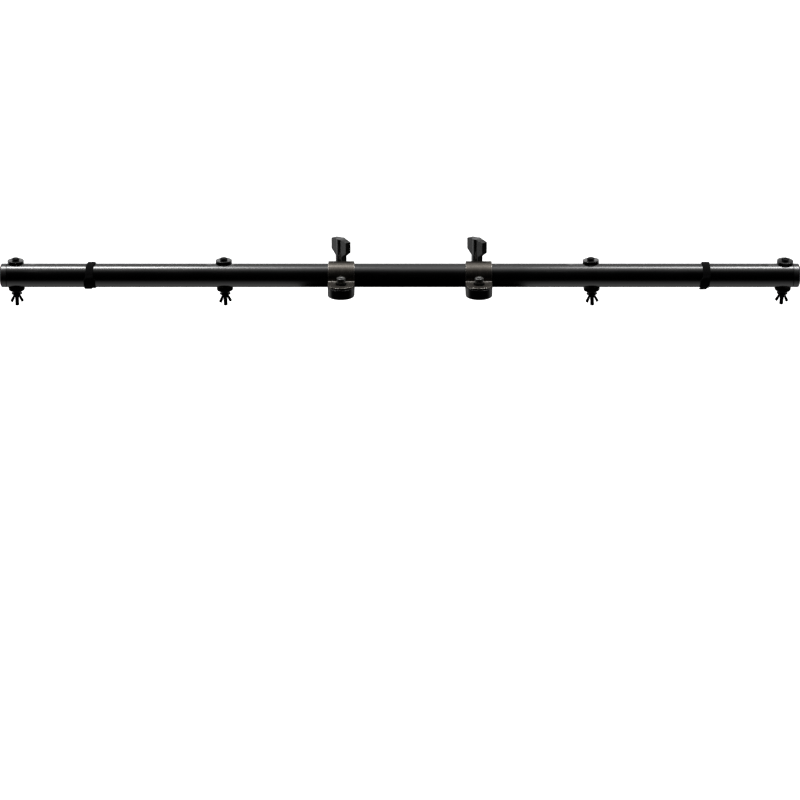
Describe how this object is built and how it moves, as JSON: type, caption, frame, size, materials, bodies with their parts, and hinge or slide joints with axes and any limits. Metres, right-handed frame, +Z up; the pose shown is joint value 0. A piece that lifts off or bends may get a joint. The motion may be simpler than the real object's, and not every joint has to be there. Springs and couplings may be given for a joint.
{
  "type": "lighting crossbar with saddle clamps",
  "caption": "Black tube crossbar in saddle clamps with wing knobs, with hanging bolts, washers and wing nuts for lamp brackets and fabric cable ties.",
  "frame": {"origin": "midway between the two clamps, on the plane of their undersides, under the tube's axis", "axes": "+X along the tube to the right as seen from the front, +Z up, -Y to the front"},
  "size_m": [1.179, 0.1076, 0.0925],
  "materials": {
    "tube_black": "satin-gloss black powder coat",
    "cap_plastic": "smooth black moulded plastic",
    "clamp_grey": "satin dark grey coated steel",
    "clamp_black": "satin black moulding",
    "screw_steel": "blackened steel, worn bright on its edges",
    "bolt_black": "black coated fastener steel",
    "spacer_rubber": "black rubber",
    "knob_plastic": "black moulded plastic, slightly worn",
    "tie_fabric": "black hook-and-loop webbing"
  },
  "bodies": {
    "clamps": {"left_clamp_base": "clamp_black", "left_clamp_strap": "clamp_grey", "left_front_screw": "screw_steel", "left_front_washer": "screw_steel", "right_clamp_base": "clamp_black", "right_clamp_strap": "clamp_grey", "right_front_screw": "screw_steel", "right_front_washer": "screw_steel"},
    "bar": {"tube": "tube_black", "end_cap_left": "cap_plastic", "end_cap_right": "cap_plastic", "far_left_bolt": "bolt_black", "far_left_top_spacer": "spacer_rubber", "far_left_bottom_spacer": "spacer_rubber", "far_left_lock_nut": "bolt_black", "inner_left_bolt": "bolt_black", "inner_left_top_spacer": "spacer_rubber", "inner_left_bottom_spacer": "spacer_rubber", "inner_left_lock_nut": "bolt_black", "inner_right_bolt": "bolt_black", "inner_right_top_spacer": "spacer_rubber", "inner_right_bottom_spacer": "spacer_rubber", "inner_right_lock_nut": "bolt_black", "far_right_bolt": "bolt_black", "far_right_top_spacer": "spacer_rubber", "far_right_bottom_spacer": "spacer_rubber", "far_right_lock_nut": "bolt_black"},
    "left_knob_washer_body": {"left_knob_washer": "screw_steel"},
    "left_wing_knob": {"left_knob": "knob_plastic", "left_knob_stud": "screw_steel"},
    "right_knob_washer_body": {"right_knob_washer": "screw_steel"},
    "right_wing_knob": {"right_knob": "knob_plastic", "right_knob_stud": "screw_steel"},
    "far_left_washer_body": {"far_left_washer": "bolt_black"},
    "far_left_wing_nut_body": {"far_left_wing_nut": "bolt_black"},
    "inner_left_washer_body": {"inner_left_washer": "bolt_black"},
    "inner_left_wing_nut_body": {"inner_left_wing_nut": "bolt_black"},
    "inner_right_washer_body": {"inner_right_washer": "bolt_black"},
    "inner_right_wing_nut_body": {"inner_right_wing_nut": "bolt_black"},
    "far_right_washer_body": {"far_right_washer": "bolt_black"},
    "far_right_wing_nut_body": {"far_right_wing_nut": "bolt_black"},
    "left_tie": {"cable_tie_left": "tie_fabric"},
    "right_tie": {"cable_tie_right": "tie_fabric"}
  },
  "joints": [
    {"name": "bar_slide", "type": "slide", "parent": "clamps", "child": "bar", "axis": [1, 0, 0], "range_m": [-0.131, 0.138]},
    {"name": "left_knob_lift", "type": "slide", "parent": "clamps", "child": "left_knob_washer_body", "axis": [0, 0, 1], "range_m": [0, 0.01]},
    {"name": "left_knob_turn", "type": "hinge", "parent": "left_knob_washer_body", "child": "left_wing_knob", "pos_m": [-0.1019, 0.034, 0.0215], "axis": [0, 0, 1], "range_deg": [0, 2890]},
    {"name": "right_knob_lift", "type": "slide", "parent": "clamps", "child": "right_knob_washer_body", "axis": [0, 0, 1], "range_m": [0, 0.01]},
    {"name": "right_knob_turn", "type": "hinge", "parent": "right_knob_washer_body", "child": "right_wing_knob", "pos_m": [0.0991, 0.034, 0.0215], "axis": [0, 0, 1], "range_deg": [0, 2890]},
    {"name": "far_left_washer_drop", "type": "slide", "parent": "bar", "child": "far_left_washer_body", "axis": [0, 0, -1], "range_m": [0, 0.008]},
    {"name": "far_left_wing_nut_turn", "type": "hinge", "parent": "far_left_washer_body", "child": "far_left_wing_nut_body", "pos_m": [-0.5797, 0, 0.0215], "axis": [0, 0, -1], "range_deg": [0, 2890]},
    {"name": "inner_left_washer_drop", "type": "slide", "parent": "bar", "child": "inner_left_washer_body", "axis": [0.0262, 0, -0.9997], "range_m": [0, 0.008]},
    {"name": "inner_left_wing_nut_turn", "type": "hinge", "parent": "inner_left_washer_body", "child": "inner_left_wing_nut_body", "pos_m": [-0.2732, 0, 0.0215], "axis": [0.0262, 0, -0.9997], "range_deg": [0, 2890]},
    {"name": "inner_right_washer_drop", "type": "slide", "parent": "bar", "child": "inner_right_washer_body", "axis": [0.0489, 0, -0.9988], "range_m": [0, 0.008]},
    {"name": "inner_right_wing_nut_turn", "type": "hinge", "parent": "inner_right_washer_body", "child": "inner_right_wing_nut_body", "pos_m": [0.2668, 0, 0.0215], "axis": [0.0489, 0, -0.9988], "range_deg": [0, 2890]},
    {"name": "far_right_washer_drop", "type": "slide", "parent": "bar", "child": "far_right_washer_body", "axis": [-0.0399, 0.1045, -0.9937], "range_m": [0, 0.008]},
    {"name": "far_right_wing_nut_turn", "type": "hinge", "parent": "far_right_washer_body", "child": "far_right_wing_nut_body", "pos_m": [0.5503, 0, 0.0215], "axis": [-0.0399, 0.1045, -0.9937], "range_deg": [0, 2890]},
    {"name": "left_tie_slide", "type": "slide", "parent": "bar", "child": "left_tie", "axis": [1, 0, 0], "range_m": [-0.087, 0.175]},
    {"name": "right_tie_slide", "type": "slide", "parent": "bar", "child": "right_tie", "axis": [1, 0, 0], "range_m": [-0.144, 0.094]}
  ],
  "couplings": [
    {"joint": "left_knob_turn", "follows": "left_knob_lift", "rad_per_m": 5026.5},
    {"joint": "right_knob_turn", "follows": "right_knob_lift", "rad_per_m": 5026.5},
    {"joint": "far_left_wing_nut_turn", "follows": "far_left_washer_drop", "rad_per_m": 6283.2},
    {"joint": "inner_left_wing_nut_turn", "follows": "inner_left_washer_drop", "rad_per_m": 6283.2},
    {"joint": "inner_right_wing_nut_turn", "follows": "inner_right_washer_drop", "rad_per_m": 6283.2},
    {"joint": "far_right_wing_nut_turn", "follows": "far_right_washer_drop", "rad_per_m": 6283.2}
  ]
}
